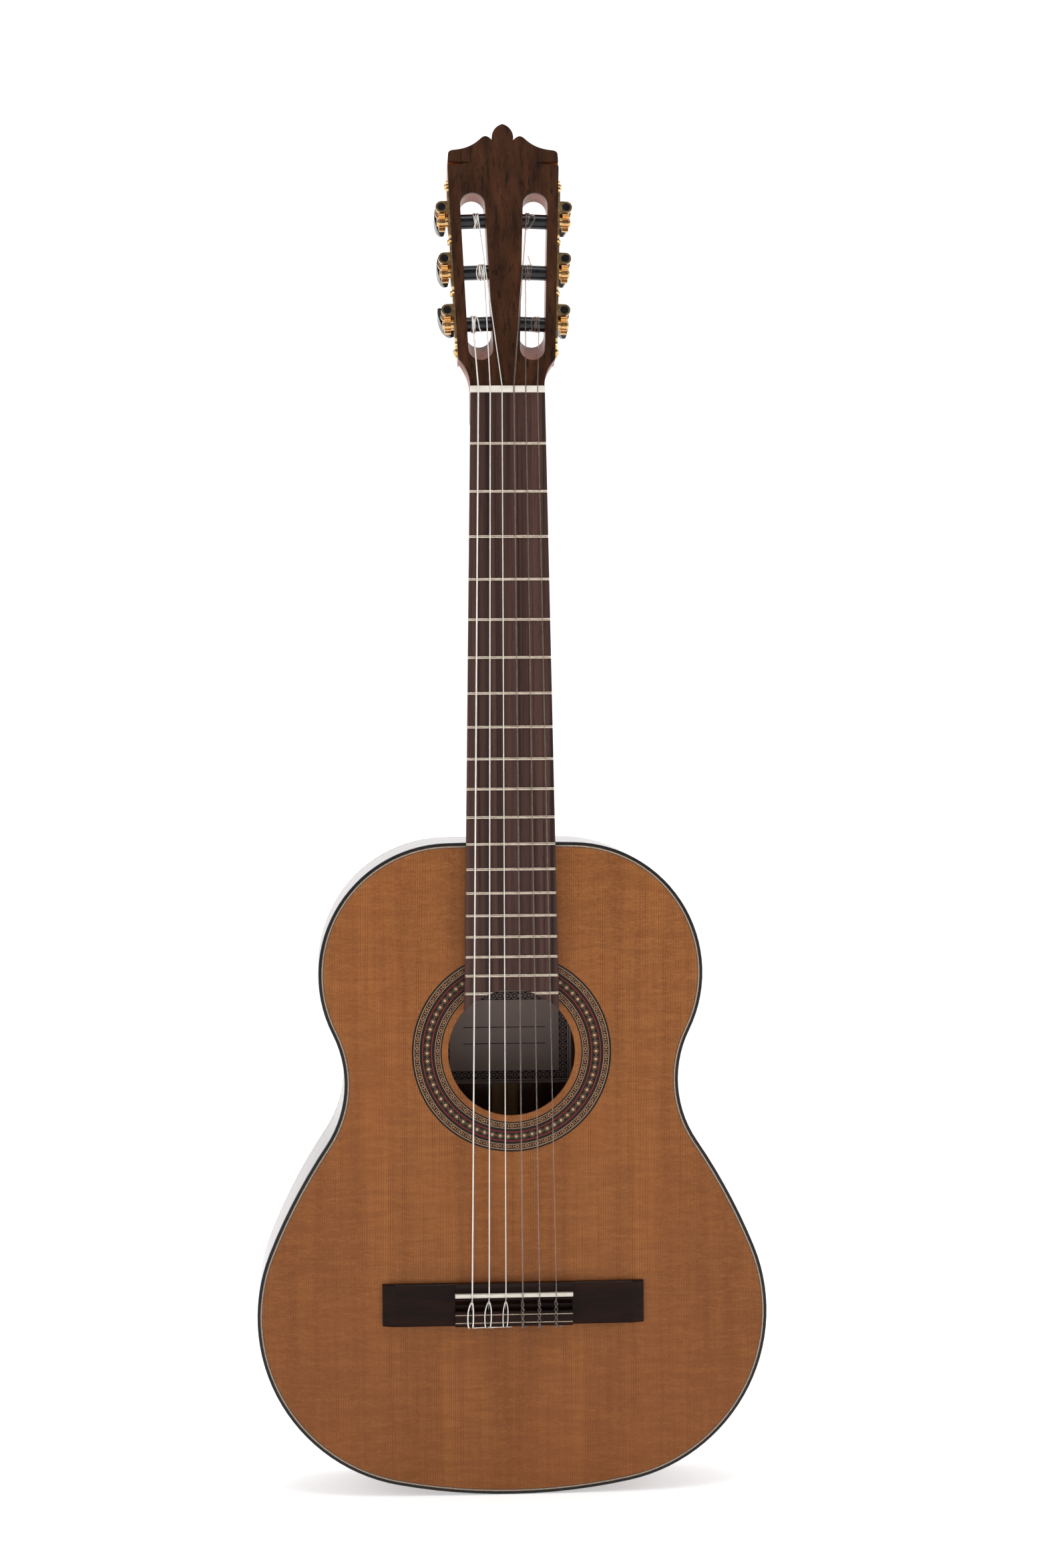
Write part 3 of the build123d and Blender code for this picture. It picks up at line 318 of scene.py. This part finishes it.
def chain_band(base, middle, links):
    """Ovals joined by small crosses: the narrow bands' repeated motif."""
    step = graph.math("FRACT", graph.math("MULTIPLY", turn, float(links)))
    pitch = 2 * pi * middle / links
    along = graph.math("MULTIPLY", graph.math("SUBTRACT", step, 0.5), pitch)
    off = graph.math("SUBTRACT", radius, middle)
    oval = graph.math("SQRT", graph.math("ADD", graph.math("POWER", graph.math("DIVIDE", along, 1.5), 2.0),
                                         graph.math("POWER", graph.math("DIVIDE", off, 1.0), 2.0)))
    loop = inside(graph.math("SUBTRACT", oval, 0.82), 0.22)
    far = graph.math("SUBTRACT", pitch / 2, graph.math("ABSOLUTE", along))
    hooked = graph.math("DIVIDE", graph.math("SUBTRACT", far, 0.1), 1.2)
    hook = graph.math("SQRT", graph.math("ADD", graph.math("POWER", hooked, 2.0),
                                         graph.math("POWER", graph.math("DIVIDE", off, 1.0), 2.0)))
    claw = graph.math("MULTIPLY", inside(graph.math("SUBTRACT", hook, 0.85), 0.2),
                      graph.level(far, 0.35, 0.5))
    band = inside(off, 1.25)
    return graph.mix(graph.math("MULTIPLY", graph.math("MAXIMUM", loop, claw), band), base, TAN)


def diamond_band(base, middle, diamonds):
    """Small nested diamonds on black, joined corner to corner by crossed threads."""
    step = graph.math("FRACT", graph.math("MULTIPLY", turn, float(diamonds)))
    pitch = 2 * pi * middle / diamonds
    along = graph.math("ABSOLUTE", graph.math("MULTIPLY", graph.math("SUBTRACT", step, 0.5), pitch))
    off = graph.math("ABSOLUTE", graph.math("SUBTRACT", radius, middle))
    reach = graph.math("ADD", along, off)
    heart = graph.level(reach, 0.42, 0.3)
    border = inside(graph.math("SUBTRACT", reach, 2.05), 0.16)
    far = graph.math("SUBTRACT", pitch / 2, along)
    thread = graph.math("MULTIPLY", inside(graph.math("SUBTRACT", far, off), 0.14), inside(off, 1.7))
    base = graph.mix(graph.math("MULTIPLY", thread, 0.55), base, TAN)
    base = graph.mix(graph.math("MULTIPLY", border, 0.6), base, TAN)
    base = graph.mix(graph.level(reach, 1.24, 1.1), base, srgb(196, 160, 124))
    return graph.mix(heart, base, srgb(150, 70, 48))


base = chain_band(base, 66.7, 60)
base = chain_band(base, 52.1, 47)
base = diamond_band(base, 59.5, 66)
graph.color(base)
graph.bump(graph.noise(graph.stretched((1500, 1500, 1500)), detail=2), 0.05, 0.1 * MM)
dress("rosette", mosaic)


# ------------------------------------------------------------ purfling and bindings
# A pale strip with a thin dark line on its inner side, and black wooden bindings round the
# top and back, all scraped flush and lacquered.
maple, graph = finish("pale_strip", srgb(168, 150, 130), roughness=0.45, coat=0.06, coat_roughness=0.2)
fleck = graph.noise(graph.stretched((900, 900, 900)), detail=2)
graph.color(graph.mix(graph.level(fleck, 0.35, 0.65), srgb(138, 118, 98), srgb(164, 144, 124)))
dress("purfling_top", maple)
dress("bridge_inlays", maple)

dark_line, graph = finish("dark_line", srgb(38, 24, 18), roughness=0.45)
fleck = graph.noise(graph.stretched((700, 700, 700)), detail=2)
graph.color(graph.mix(graph.level(fleck, 0.35, 0.65), srgb(30, 19, 15), srgb(46, 30, 22)))
dress("purfling_line", dark_line)

binding, graph = finish("black_binding", srgb(24, 21, 21), roughness=0.3, coat=0.08, coat_roughness=0.06)
graph.shader.inputs["Specular IOR Level"].default_value = 0.2
streak = graph.noise(graph.stretched((160, 500, 40)), detail=3)
graph.color(graph.mix(graph.level(streak, 0.3, 0.7), srgb(17, 15, 15), srgb(33, 29, 28)))
graph.rough(graph.level(streak, 0.3, 0.7, 0.22, 0.34))
dress("binding_top", binding)
dress("binding_back", binding)


# ------------------------------------------------------------ sides, back and heel cap
# Bent rosewood sides and a two-piece rosewood back, filled and lacquered to a gloss. Dark
# streaks follow the length of the body.
def rosewood(name, light, dark, line, run_scale, gloss=0.6, shine=0.35, pores=1.0, width=1.0, bent=1.0):
    """Streaked hardwood with its grain along Z, or round the body where bent is small."""
    material, graph = finish(name, light, roughness=0.36, coat=gloss, coat_roughness=0.08)
    graph.shader.inputs["Specular IOR Level"].default_value = shine
    slow = graph.noise(graph.stretched((26 * width * bent, 26 * width, run_scale)), detail=4, roughness=0.6)
    waved = graph.stretched((90 * width * bent, 90 * width, run_scale * 1.6), shift=(1, 2, 3))
    wave = graph.noise(waved, detail=4, roughness=0.65)
    pore = graph.noise(graph.stretched((1500 * bent, 1500, 70)), detail=2)
    wood = graph.mix(graph.level(slow, 0.34, 0.66), dark, light)
    wood = graph.mix(graph.level(wave, 0.52, 0.66, 0.0, 0.75), wood, line)
    wood = graph.mix(graph.level(pore, 0.60, 0.70, 0.0, 0.5 * pores), wood, line)
    graph.color(wood)
    graph.rough(graph.level(wave, 0.3, 0.7, 0.30, 0.42))
    graph.bump(graph.level(pore, 0.5, 0.7, 1.0, 0.0), 0.08 * pores, 0.1 * MM)
    return material


body_wood = rosewood("body_rosewood", srgb(96, 56, 38), srgb(64, 34, 25), srgb(34, 18, 14), 1.6)
for node in ("back_bass", "back_treble", "heel_cap"):
    dress(node, body_wood)
side_wood = rosewood("side_rosewood", srgb(96, 56, 38), srgb(64, 34, 25), srgb(34, 18, 14), 1.6, bent=0.04)
for node in ("side_bass", "side_treble"):
    dress(node, side_wood)


# ------------------------------------------------------------ inside the body
# Bare spruce blocks, linings and bars glued inside, seen through the soundhole and dulled
# a little by age.
spruce, graph = finish("bare_spruce", srgb(170, 134, 92), roughness=0.75)
grain = graph.noise(graph.stretched((420, 420, 12)), detail=3)
graph.color(graph.mix(graph.level(grain, 0.35, 0.65), srgb(150, 112, 72), srgb(184, 148, 104)))
graph.bump(grain, 0.1, 0.1 * MM)
for node in ("tail_block", "linings", "top_braces", "back_braces", "back_strip"):
    dress(node, spruce)


# ------------------------------------------------------------ label
# A paper label pasted inside the back. It has a printed scroll border and two plain rules,
# with no lettering.
label_low, label_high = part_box("label")
LABEL_MID = ((label_low[0] + label_high[0]) / 2, (label_low[2] + label_high[2]) / 2)
LABEL_HALF = ((label_high[0] - label_low[0]) / 2 / MM, (label_high[2] - label_low[2]) / 2 / MM)
PRINT = srgb(66, 50, 52)
STOCK = srgb(186, 164, 154)
BORDER_IN = 9.0
SCROLL = 5.2
RULE_OFF = 6.0
RULE_HALF = 30.0
label_paper, graph = finish("label_paper", STOCK, roughness=0.85)
x, y, z = graph.split()[:3]
u = graph.math("DIVIDE", graph.math("SUBTRACT", x, LABEL_MID[0]), MM)
v = graph.math("DIVIDE", graph.math("SUBTRACT", z, LABEL_MID[1]), MM)
from_side = graph.math("SUBTRACT", LABEL_HALF[0], graph.math("ABSOLUTE", u))
from_end = graph.math("SUBTRACT", LABEL_HALF[1], graph.math("ABSOLUTE", v))
from_edge = graph.math("MINIMUM", from_side, from_end)
along = graph.mix(graph.math("LESS_THAN", from_side, from_end),
                  graph.node("CombineXYZ", u, 0.0, 0.0).outputs[0],
                  graph.node("CombineXYZ", v, 0.0, 0.0).outputs[0])
along = graph.split(along)[0]
repeat = graph.math("FRACT", graph.math("DIVIDE", along, SCROLL))
step = graph.math("MULTIPLY", graph.math("SUBTRACT", repeat, 0.5), SCROLL)
depth = graph.math("SUBTRACT", from_edge, 6.0)
reach = graph.math("SQRT", graph.math("ADD", graph.math("POWER", step, 2.0), graph.math("POWER", depth, 2.0)))
curl = inside(graph.math("SUBTRACT", reach, 2.2), 0.35)
bead = graph.level(reach, 1.1, 0.8)
strip = graph.math("MULTIPLY", graph.level(from_edge, 2.9, 3.1),
                   graph.level(from_edge, BORDER_IN + 0.1, BORDER_IN - 0.1))
from_rule = graph.math("ABSOLUTE", graph.math("SUBTRACT", graph.math("ABSOLUTE", v), RULE_OFF))
rule = graph.math("MULTIPLY", inside(from_rule, 0.3),
                  graph.level(graph.math("ABSOLUTE", u), RULE_HALF + 0.2, RULE_HALF - 0.2))
thin = inside(graph.math("SUBTRACT", from_edge, 1.8), 0.2)
left_pale = graph.math("MULTIPLY", graph.math("MAXIMUM", curl, bead), 0.75)
ink = graph.math("MULTIPLY", strip, graph.math("SUBTRACT", 1.0, left_pale))
ink = graph.math("MAXIMUM", ink, graph.math("MAXIMUM", rule, thin))
graph.color(graph.mix(ink, STOCK, PRINT))
dress("label", label_paper)


# ------------------------------------------------------------ neck
# One length of cedrela with its heel and head core, stained and lacquered. The bare reddish
# wood shows on the ramps inside the head slots.
neck_wood = rosewood("neck_cedrela", srgb(158, 82, 44), srgb(130, 62, 32), srgb(92, 40, 20), 2.0,
                     gloss=0.12, shine=0.22, pores=0.7)
dress("neck", neck_wood)
dress("head_core", neck_wood)


# ------------------------------------------------------------ head veneer
# A rosewood veneer on the face of the head, walnut brown with dark upright streaks, cut
# to the outline of the carved crest and lacquered to a gloss.
head_wood = rosewood("head_rosewood", srgb(74, 44, 27), srgb(43, 24, 14), srgb(16, 9, 6), 2.2,
                     gloss=0.05, shine=0.12, pores=0.9, width=4.0)
dress("head_veneer", head_wood)


# ------------------------------------------------------------ fretboard
# A quarter-sawn rosewood board, dry and unlacquered, with grey, brown and red streaks along
# the neck.
board_wood = rosewood("board_rosewood", srgb(88, 62, 55), srgb(50, 34, 31), srgb(26, 17, 15), 1.1,
                      gloss=0.0, shine=0.15, width=4.4)
dress("fretboard", board_wood)


# ------------------------------------------------------------ frets
# Nickel-silver wire pressed into sawn slots, its crowns rounded and polished and its ends
# bevelled flush with the board.
fret_metal, graph = finish("fret_wire", srgb(196, 184, 166), roughness=0.3, metallic=1.0)
worn = graph.noise(graph.stretched((260, 900, 900)), detail=3)
graph.color(graph.mix(graph.level(worn, 0.35, 0.65), srgb(178, 164, 146), srgb(206, 194, 178)))
graph.rough(graph.level(worn, 0.3, 0.7, 0.24, 0.36))
dress("frets", fret_metal)


# ------------------------------------------------------------ nut and saddle
# Shaped strips of polished bone, a little uneven in tone.
bone, graph = finish("polished_bone", srgb(222, 216, 204), roughness=0.35, coat=0.2)
cloud = graph.noise(graph.stretched((120, 300, 300)), detail=4)
graph.color(graph.mix(graph.level(cloud, 0.3, 0.7), srgb(212, 204, 190), srgb(232, 227, 216)))
graph.shader.inputs["Subsurface Weight"].default_value = 0.1
graph.shader.inputs["Subsurface Radius"].default_value = (0.002, 0.0015, 0.001)
dress("nut", bone)
dress("saddle", bone)


# ------------------------------------------------------------ bridge
# Dark rosewood, carved in one piece with thin wings and a tie block, glued to the top and
# polished. Its grain runs across the guitar.
bridge_wood, graph = finish("bridge_rosewood", srgb(36, 22, 18), roughness=0.4,
                            coat=0.03, coat_roughness=0.15)
graph.shader.inputs["Specular IOR Level"].default_value = 0.08
slow = graph.noise(graph.stretched((12, 90, 90)), detail=4, roughness=0.6)
fine = graph.noise(graph.stretched((60, 700, 700)), detail=3)
tone = graph.mix(graph.level(slow, 0.36, 0.66), srgb(17, 8, 6), srgb(38, 17, 8))
tone = graph.mix(graph.level(fine, 0.5, 0.7, 0.0, 0.6), tone, srgb(18, 11, 10))
graph.color(tone)
graph.rough(graph.level(fine, 0.3, 0.7, 0.28, 0.42))
graph.bump(fine, 0.06, 0.1 * MM)
dress("bridge", bridge_wood)


# ------------------------------------------------------------ tuning machine metal
# Stamped side plates, gears, worms and screws, all gold plated and polished.
gold, graph = finish("gold_plate", srgb(204, 166, 112), roughness=0.24, metallic=1.0)
worn = graph.noise(graph.stretched((350, 350, 350)), detail=3)
graph.color(graph.mix(graph.level(worn, 0.3, 0.7), srgb(190, 150, 98), srgb(222, 188, 138)))
graph.rough(graph.level(worn, 0.3, 0.7, 0.14, 0.28))
metal_nodes = ["plate_bass", "plate_treble", "plate_screws"]
for number in range(1, 7):
    metal_nodes += [f"gear_{number}", f"worm_{number}"]
for node in metal_nodes:
    dress(node, gold)


# ------------------------------------------------------------ discs, rollers and buttons
# Black discs pressed into the front lugs, black plastic sleeves on the roller shafts, and
# moulded black buttons pushed on the worm shafts.
black, graph = finish("black_plastic", srgb(20, 20, 22), roughness=0.2, coat=0.12, coat_roughness=0.05)
graph.shader.inputs["Specular IOR Level"].default_value = 0.3
cloud = graph.noise(graph.stretched((300, 300, 300)), detail=3)
graph.color(graph.mix(graph.level(cloud, 0.3, 0.7), srgb(14, 14, 16), srgb(28, 28, 31)))
graph.rough(graph.level(cloud, 0.3, 0.7, 0.16, 0.26))
dress("worm_caps", black)
for number in range(1, 7):
    dress(f"roller_{number}", black)
    dress(f"button_{number}", black)


# ------------------------------------------------------------ strings
# Three bass strings of silvered wire wound on floss, and three plain nylon trebles, each one
# from its tie at the bridge to its roller.
wound, graph = finish("silver_winding", srgb(232, 228, 222), roughness=0.3, metallic=0.85)
sheen = graph.noise(graph.stretched((800, 800, 60)), detail=2)
graph.color(graph.mix(graph.level(sheen, 0.3, 0.7), srgb(218, 213, 206), srgb(240, 237, 232)))
wire_turns = graph.math("SINE", graph.math("MULTIPLY", graph.split()[2], 2 * pi / (0.3 * MM)))
graph.bump(wire_turns, 0.25, 0.05 * MM)

nylon, graph = finish("clear_nylon", srgb(216, 196, 184), roughness=0.12)
graph.shader.inputs["Transmission Weight"].default_value = 0.92
graph.shader.inputs["IOR"].default_value = 1.45
haze = graph.noise(graph.stretched((500, 500, 80)), detail=2)
graph.color(graph.mix(graph.level(haze, 0.3, 0.7), srgb(208, 188, 176), srgb(228, 212, 204)))
for number in range(1, 7):
    dress(f"string_{number}", wound if number > 3 else nylon)


def strand(name, points, diameter, material, body):
    """A smooth length of string through points given in metres."""
    bpy.ops.object.select_all(action="DESELECT")
    bpy.ops.curve.primitive_nurbs_path_add(location=(0, 0, 0))
    piece = bpy.context.object
    piece.name = name
    spline = piece.data.splines[0]
    spline.points.add(len(points) - len(spline.points))
    for knot, point in zip(spline.points, points):
        knot.co = (*point, 1)
    spline.order_u = 3
    spline.use_endpoint_u = True
    piece.data.bevel_depth = diameter / 2
    piece.data.bevel_resolution = 3
    piece.data.resolution_u = 3
    piece.data.use_fill_caps = True
    bpy.ops.object.convert(target="MESH")
    bpy.ops.object.shade_smooth()
    dress(piece, material)
    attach(piece, body)
    return piece


# ------------------------------------------------------------ turns on the rollers
# Each string goes over the front of its roller, round it three or four times, and through
# the hole in it. What is left stands off as a short tail, and it all turns with the roller.
HEAD_TILT = radians(12)
HEAD_OUT = Vector((0, -cos(HEAD_TILT), sin(HEAD_TILT)))
HEAD_UP = Vector((0, sin(HEAD_TILT), cos(HEAD_TILT)))
ROLLER_R = 5.2
STEPS_A_TURN = 12
joints = {joint["name"]: joint for joint in frame["record"]["behaviour"]["joints"]}
# number: (diameter, x where it lands, x of each end of the turns, turns, tail points). A tail
# point is x across the guitar, then how far it is to the front of and above the roller's axis.
TURNS = {
    6: (1.12, -23.3, (-25.0, -21.3), 3.4,
        [(-20.8, 4.6, 4.3), (-19.6, 6.1, 1.6), (-19.1, 5.8, -2.4), (-18.7, 4.9, -6.0), (-17.3, 4.4, -7.4)]),
    5: (0.91, -14.6, (-14.4, -18.4), 4.3,
        [(-18.8, 5.0, 3.4), (-19.8, 6.3, 0.8), (-20.3, 5.6, -3.0), (-19.7, 4.5, -5.6), (-19.0, 3.9, -6.7)]),
    4: (0.76, -18.1, (-17.6, -21.6), 3.5,
        [(-22.0, 5.4, 3.0), (-20.7, 6.7, 0.9), (-20.0, 6.2, -2.2), (-21.1, 4.9, -5.4), (-21.9, 3.8, -7.4)]),
    3: (1.03, 15.9, (15.0, 18.0), 2.6,
        [(18.6, 5.6, 3.2), (20.8, 6.9, 2.6), (22.0, 7.1, 0.6), (20.6, 6.7, -3.2), (17.9, 5.4, -7.2)]),
    2: (0.83, 14.4, (15.1, 18.8), 3.6,
        [(19.2, 5.0, 3.6), (17.9, 6.6, 4.0), (17.0, 6.3, 7.0), (16.1, 5.8, 10.2)]),
    1: (0.72, 23.3, (23.9, 19.8), 4.4,
        [(19.3, 5.0, 3.6), (18.1, 6.3, 1.2), (17.6, 6.0, -3.0), (18.9, 5.1, -6.3), (17.3, 4.7, -7.2),
         (16.6, 5.2, -5.4)]),
}
for number, (diameter, landing, (first, last), turns, tail) in TURNS.items():
    joint = joints[f"turn_roller_{number}"]
    centre = Vector(joint["pos_m"]) / MM
    outward = Vector(joint["axis"])
    upward = HEAD_OUT.cross(outward)
    upward = upward if upward.dot(HEAD_UP) > 0 else -upward

    def on_roller(x, front, up):
        """A point beside the roller, in metres."""
        return (centre + outward * ((x - centre.x) / outward.x) + HEAD_OUT * front + upward * up) * MM

    route = []
    count = int(turns * STEPS_A_TURN)
    reach = (ROLLER_R + diameter / 2 + 0.05) / cos(pi / STEPS_A_TURN)
    for index in range(count + 1):
        share = index / count
        angle = -0.15 + 2 * pi * index / STEPS_A_TURN
        settle = min(1.0, 3 * share)
        spread = first + (last - first) * share + 0.35 * sin(2.3 * angle + number) * settle
        x = landing + (spread - landing) * settle
        route.append(on_roller(x, reach * cos(angle), reach * sin(angle)))
    route += [on_roller(*point) for point in tail]
    strand(f"turns_{number}", route, diameter * MM, wound if number > 3 else nylon,
           f"winder_{number}")


# ------------------------------------------------------------ ties at the bridge
# Each string goes through the tie block, comes back over it and under itself behind the
# saddle. The basses are tied with one open loop, and the trebles are twisted round themselves.
bridge_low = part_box("bridge")[0][2] / MM
top_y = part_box("soundboard")[0][1] / MM
BLOCK_TOP = 9.0
SPREAD = 59.0


def tie(name, number, route, material):
    """A tie from a route of x from its string, height over the top and z up from the bridge's foot."""
    string_x = SPREAD * (0.5 - (number - 1) / 5)
    points = [Vector((string_x + x, top_y - height, bridge_low + z)) * MM for x, height, z in route]
    strand(name, points, TURNS[number][0] * MM, material, "body")


# number: (width of the loop to the left and right of the string, length of its tail)
LOOPS = {6: (3.1, 0.8, 17.4), 5: (3.0, 1.6, 15.4), 4: (2.0, 1.5, 4.6)}
for number, (left, right, reach) in LOOPS.items():
    over = BLOCK_TOP + TURNS[number][0] / 2 + 0.1
    route = [
        (0, 4.6, 0.4), (-0.2, 4.9, -0.9), (-0.5 * left, 7.6, -1.3), (-0.9 * left, over + 0.2, -0.2),
        (-left, over + 0.25, 3.5), (-left, over, 8.5), (-0.8 * left, over, 12.6), (-0.35 * left, 9.0, 16.4),
        (0, 8.2, 17.9), (0.5 * right, 8.6, 16.8), (right, over, 12.6), (right, over, 8.0),
        (0.9 * right, over + 0.2, 3.4), (0.5 * right, over, -0.2), (0.5, 7.4, -1.2), (1.6, 6.2, -0.95),
        (reach * 0.55, 6.0, -0.8), (reach, 6.3, -0.75),
    ]
    tie(f"tie_{number}", number, route, wound)

TWIST = 7.6
TWIST_LOW = 0.6
TWIST_LENGTH = 15.6
TWIST_STEPS = 14
for number in (3, 2, 1):
    diameter = TURNS[number][0]
    route = [(0, 4.6, 0.4), (-0.3, 5.4, -0.9), (-0.8, 8.4, -0.9)]
    for way in (1, -1):
        steps = range(TWIST_STEPS + 1)
        for step in steps if way == 1 else reversed(steps):
            z = TWIST_LOW + TWIST_LENGTH * step / TWIST_STEPS
            angle = 2 * pi * z / TWIST + (0 if way == 1 else pi)
            wide = 0.95 + 0.25 * sin(1.7 * z + number)
            drop = max(0.0, z - 11.0) * 0.28
            height = BLOCK_TOP + diameter + 0.15 - drop + 0.55 * diameter * sin(angle)
            route.append((wide * cos(angle), height, z))
        if way == 1:
            route += [(0.5, 8.3, 17.6), (0, 7.9, 18.4), (-0.5, 8.3, 17.6)]
    route += [(0.9, 8.2, -0.9), (1.5, 6.6, -1.3), (0.6, 5.9, -1.9), (-0.6, 6.6, -1.5), (0.3, 7.6, -1.2),
              (1.9, 7.2, -1.0), (3.1, 6.4, -1.1)]
    tie(f"tie_{number}", number, route, nylon)

# the curled end of the first string's tie
curled_end = [(3.1, 6.4, -1.1), (4.0, 6.2, -1.6), (4.6, 6.8, -0.9), (3.9, 7.4, -0.5), (3.5, 6.8, -1.4),
              (4.9, 6.2, -2.0), (5.8, 6.5, -1.3)]
tie("tie_end_1", 1, curled_end, nylon)
